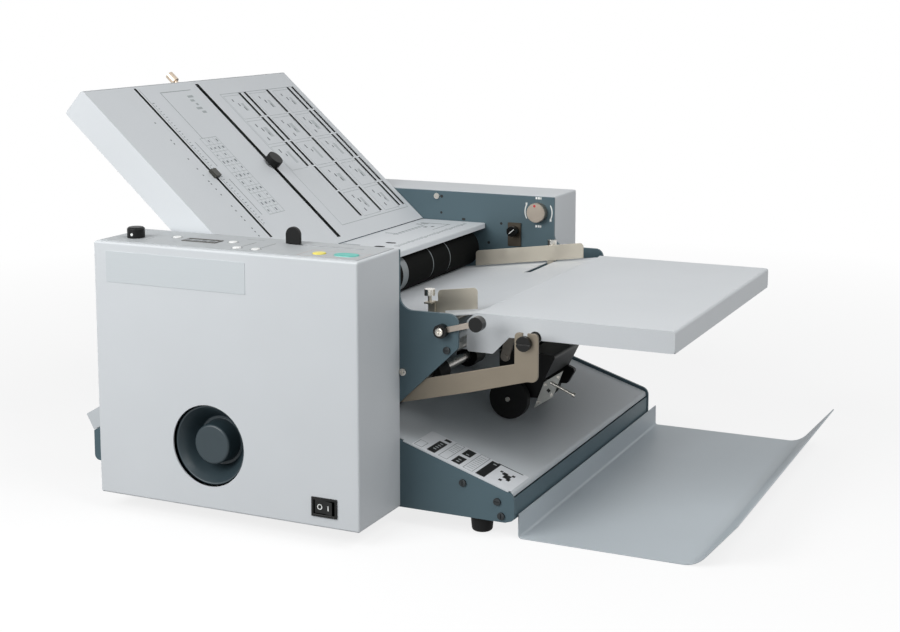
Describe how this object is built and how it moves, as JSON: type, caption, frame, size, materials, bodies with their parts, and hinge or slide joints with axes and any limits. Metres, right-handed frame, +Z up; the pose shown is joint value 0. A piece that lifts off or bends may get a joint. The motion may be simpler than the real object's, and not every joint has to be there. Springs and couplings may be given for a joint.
{
  "type": "paper folding machine",
  "caption": "Desktop paper folding machine with a feed table, geared fold rollers, slanted fold tables with sliding stops, press wheels, control buttons and a loose delivery tray.",
  "frame": {"origin": "centre of the bounding box's bottom face, on the surface that the machine stands on", "axes": "+X the way the folded paper leaves, +Y towards the back, +Z up"},
  "size_m": [0.6916, 0.5456, 0.4024],
  "materials": {
    "cover_paint": "satin pale grey paint",
    "plate_paint": "satin dark slate paint",
    "table_paint": "satin light grey paint",
    "steel": "brushed",
    "warm_steel": "brushed, warm tone",
    "bright_metal": "polished",
    "light_alloy": "matt",
    "bearing_metal": "plain",
    "black_rubber": "matt",
    "black_plastic": "matt moulded",
    "slate_plastic": "satin moulded",
    "film": "printed overlay film",
    "white_plastic": "gloss",
    "yellow_plastic": "gloss",
    "teal_plastic": "gloss"
  },
  "bodies": {
    "frame": {"base_plates": "plate_paint", "front_frame_plate": "plate_paint", "rear_frame_plate": "plate_paint", "tie_bars": "steel", "frame_fittings": "bright_metal", "front_cover": "cover_paint", "rear_cover": "cover_paint", "control_panel": "film", "switch_frame": "black_plastic", "main_motor": "steel", "drive_belts": "black_rubber", "shaft_bushes": "bearing_metal", "feed_table": "table_paint", "fold_table_1_case": "table_paint", "fold_table_1_chute": "light_alloy", "fold_table_2_case": "table_paint", "fold_table_2_chute": "light_alloy", "table_pegs": "steel", "delivery_ramp": "table_paint", "wheel_arms": "warm_steel", "press_shaft": "steel", "shaft_caps": "black_plastic", "rubber_feet": "black_rubber", "power_inlet": "black_plastic"},
    "handwheel": {"handwheel": "slate_plastic", "motor_shaft": "steel"},
    "fold_roller_1": {"fold_roller_1": "steel"},
    "fold_roller_2": {"fold_roller_2": "steel"},
    "fold_roller_3": {"fold_roller_3": "steel"},
    "fold_roller_4": {"fold_roller_4": "steel"},
    "feed_roller": {"feed_shaft": "steel", "feed_sleeves": "black_rubber"},
    "exit_rollers": {"exit_shaft": "steel", "exit_rollers": "black_rubber"},
    "lift_plate": {"lift_plate": "table_paint"},
    "feed_lever": {"feed_lever": "black_plastic"},
    "front_side_guide": {"front_side_guide": "steel"},
    "rear_side_guide": {"rear_side_guide": "steel"},
    "fold_stop_1": {"fold_stop_1": "light_alloy"},
    "stop_knob_1": {"stop_knob_1": "black_plastic"},
    "fold_stop_2": {"fold_stop_2": "light_alloy"},
    "stop_knob_2": {"stop_knob_2": "black_plastic"},
    "fine_adjust_screw": {"fine_adjust_screw": "bright_metal"},
    "top_cover": {"top_cover": "table_paint"},
    "panel_button_1": {"panel_button_1": "white_plastic"},
    "panel_button_2": {"panel_button_2": "white_plastic"},
    "panel_button_3": {"panel_button_3": "white_plastic"},
    "panel_button_4": {"panel_button_4": "white_plastic"},
    "stop_button": {"stop_button": "yellow_plastic"},
    "start_button": {"start_button": "teal_plastic"},
    "control_knob": {"control_knob": "black_plastic"},
    "rocker_switch": {"rocker_switch": "black_plastic"},
    "pressure_knob": {"pressure_knob": "bright_metal"},
    "catch_knob": {"catch_knob": "black_plastic"},
    "clamp_lever": {"clamp_lever": "black_plastic"},
    "wheel_carrier": {"wheel_carrier": "black_plastic", "wheel_bracket": "steel"},
    "press_wheels": {"press_wheels": "black_rubber", "wheel_axle": "bright_metal"},
    "delivery_tray": {"delivery_tray": "table_paint"}
  },
  "joints": [
    {"name": "fold_roller_2_spin", "type": "hinge", "parent": "frame", "child": "fold_roller_2", "pos_m": [-0.13371, 0.00681, 0.1819], "axis": [0, 1, 0], "continuous": true},
    {"name": "fold_roller_1_spin", "type": "hinge", "parent": "frame", "child": "fold_roller_1", "pos_m": [-0.11375, 0.00681, 0.2043], "axis": [0, 1, 0], "continuous": true},
    {"name": "fold_roller_3_spin", "type": "hinge", "parent": "frame", "child": "fold_roller_3", "pos_m": [-0.1619, 0.00681, 0.19216], "axis": [0, 1, 0], "continuous": true},
    {"name": "fold_roller_4_spin", "type": "hinge", "parent": "frame", "child": "fold_roller_4", "pos_m": [-0.14397, 0.00681, 0.15371], "axis": [0, 1, 0], "continuous": true},
    {"name": "feed_roller_spin", "type": "hinge", "parent": "frame", "child": "feed_roller", "pos_m": [-0.07549, 0.00681, 0.198], "axis": [0, 1, 0], "continuous": true},
    {"name": "exit_rollers_spin", "type": "hinge", "parent": "frame", "child": "exit_rollers", "pos_m": [-0.00649, 0.00681, 0.1063], "axis": [0, 1, 0], "continuous": true},
    {"name": "handwheel_spin", "type": "hinge", "parent": "frame", "child": "handwheel", "pos_m": [-0.12749, -0.25819, 0.076], "axis": [0, 1, 0], "continuous": true},
    {"name": "lift_plate_hinge", "type": "hinge", "parent": "frame", "child": "lift_plate", "pos_m": [0.09111, 0.00681, 0.1965], "axis": [0, 1, 0], "range_deg": [-4, 0], "stiffness_Nm_per_rad": 4, "springref_deg": 17.19},
    {"name": "feed_lever_slide", "type": "slide", "parent": "frame", "child": "feed_lever", "axis": [1, 0, 0], "range_m": [0, 0.07]},
    {"name": "front_guide_slide", "type": "slide", "parent": "frame", "child": "front_side_guide", "axis": [0, 1, 0], "range_m": [0, 0.055]},
    {"name": "rear_guide_slide", "type": "slide", "parent": "frame", "child": "rear_side_guide", "axis": [0, -1, 0], "range_m": [0, 0.055]},
    {"name": "fold_stop_1_slide", "type": "slide", "parent": "frame", "child": "fold_stop_1", "axis": [0.7466, 0, -0.6652], "range_m": [-0.12, 0.086]},
    {"name": "stop_knob_1_turn", "type": "hinge", "parent": "fold_stop_1", "child": "stop_knob_1", "pos_m": [-0.22146, 0.00681, 0.30829], "axis": [0.6652, 0, 0.7466], "range_deg": [-90, 90]},
    {"name": "fold_stop_2_slide", "type": "slide", "parent": "frame", "child": "fold_stop_2", "axis": [0.8669, 0, 0.4985], "range_m": [-0.054, 0.086]},
    {"name": "stop_knob_2_turn", "type": "hinge", "parent": "fold_stop_2", "child": "stop_knob_2", "pos_m": [-0.26979, 0.00681, 0.103], "axis": [-0.4985, 0, 0.8669], "range_deg": [-90, 90]},
    {"name": "fine_screw_turn", "type": "hinge", "parent": "frame", "child": "fine_adjust_screw", "pos_m": [-0.33538, -0.01019, 0.39239], "axis": [-0.7466, 0, 0.6652], "range_deg": [-180, 180]},
    {"name": "top_cover_hinge", "type": "hinge", "parent": "frame", "child": "top_cover", "pos_m": [-0.12949, 0.00681, 0.2204], "axis": [0, -1, 0], "range_deg": [0, 50]},
    {"name": "panel_button_1_press", "type": "slide", "parent": "frame", "child": "panel_button_1", "axis": [0, 0, -1], "range_m": [0, 0.0014], "stiffness_N_per_m": 400, "springref_m": -0.0015},
    {"name": "panel_button_2_press", "type": "slide", "parent": "frame", "child": "panel_button_2", "axis": [0, 0, -1], "range_m": [0, 0.0014], "stiffness_N_per_m": 400, "springref_m": -0.0015},
    {"name": "panel_button_3_press", "type": "slide", "parent": "frame", "child": "panel_button_3", "axis": [0, 0, -1], "range_m": [0, 0.0014], "stiffness_N_per_m": 400, "springref_m": -0.0015},
    {"name": "panel_button_4_press", "type": "slide", "parent": "frame", "child": "panel_button_4", "axis": [0, 0, -1], "range_m": [0, 0.0014], "stiffness_N_per_m": 400, "springref_m": -0.0015},
    {"name": "stop_button_press", "type": "slide", "parent": "frame", "child": "stop_button", "axis": [0, 0, -1], "range_m": [0, 0.0014], "stiffness_N_per_m": 400, "springref_m": -0.0015},
    {"name": "start_button_press", "type": "slide", "parent": "frame", "child": "start_button", "axis": [0, 0, -1], "range_m": [0, 0.0014], "stiffness_N_per_m": 400, "springref_m": -0.0015},
    {"name": "control_knob_turn", "type": "hinge", "parent": "frame", "child": "control_knob", "pos_m": [-0.22349, -0.24019, 0.2646], "axis": [0, 0, -1], "range_deg": [-140, 140]},
    {"name": "rocker_switch_tip", "type": "hinge", "parent": "frame", "child": "rocker_switch", "pos_m": [-0.00549, -0.26619, 0.035], "axis": [0, 0, 1], "range_deg": [0, 14]},
    {"name": "pressure_knob_turn", "type": "hinge", "parent": "frame", "child": "pressure_knob", "pos_m": [0.01051, 0.19481, 0.2405], "axis": [0, 1, 0], "range_deg": [-150, 150]},
    {"name": "catch_knob_turn", "type": "hinge", "parent": "frame", "child": "catch_knob", "pos_m": [-0.01849, 0.19481, 0.2175], "axis": [0, 1, 0], "range_deg": [-90, 90]},
    {"name": "clamp_lever_swing", "type": "hinge", "parent": "frame", "child": "clamp_lever", "pos_m": [0.07351, -0.19519, 0.1875], "axis": [0, 1, 0], "range_deg": [-25, 40]},
    {"name": "wheel_carrier_lift", "type": "hinge", "parent": "frame", "child": "wheel_carrier", "pos_m": [0.06751, 0.00681, 0.128], "axis": [0, -1, 0], "range_deg": [0, 18]},
    {"name": "press_wheels_spin", "type": "hinge", "parent": "wheel_carrier", "child": "press_wheels", "pos_m": [0.07551, 0.00681, 0.0881], "axis": [0, 1, 0], "continuous": true},
    {"name": "delivery_tray_pull", "type": "slide", "parent": "frame", "child": "delivery_tray", "axis": [1, 0, 0], "range_m": [0, 0.12]}
  ],
  "couplings": [
    {"joint": "fold_roller_1_spin", "follows": "fold_roller_2_spin", "ratio": -1},
    {"joint": "fold_roller_3_spin", "follows": "fold_roller_2_spin", "ratio": -1},
    {"joint": "fold_roller_4_spin", "follows": "fold_roller_2_spin", "ratio": -1},
    {"joint": "feed_roller_spin", "follows": "fold_roller_2_spin", "ratio": -0.66667},
    {"joint": "exit_rollers_spin", "follows": "fold_roller_2_spin", "ratio": 1.2},
    {"joint": "handwheel_spin", "follows": "fold_roller_2_spin", "ratio": 2},
    {"joint": "feed_lever_slide", "follows": "lift_plate_hinge", "m_per_rad": -1}
  ]
}
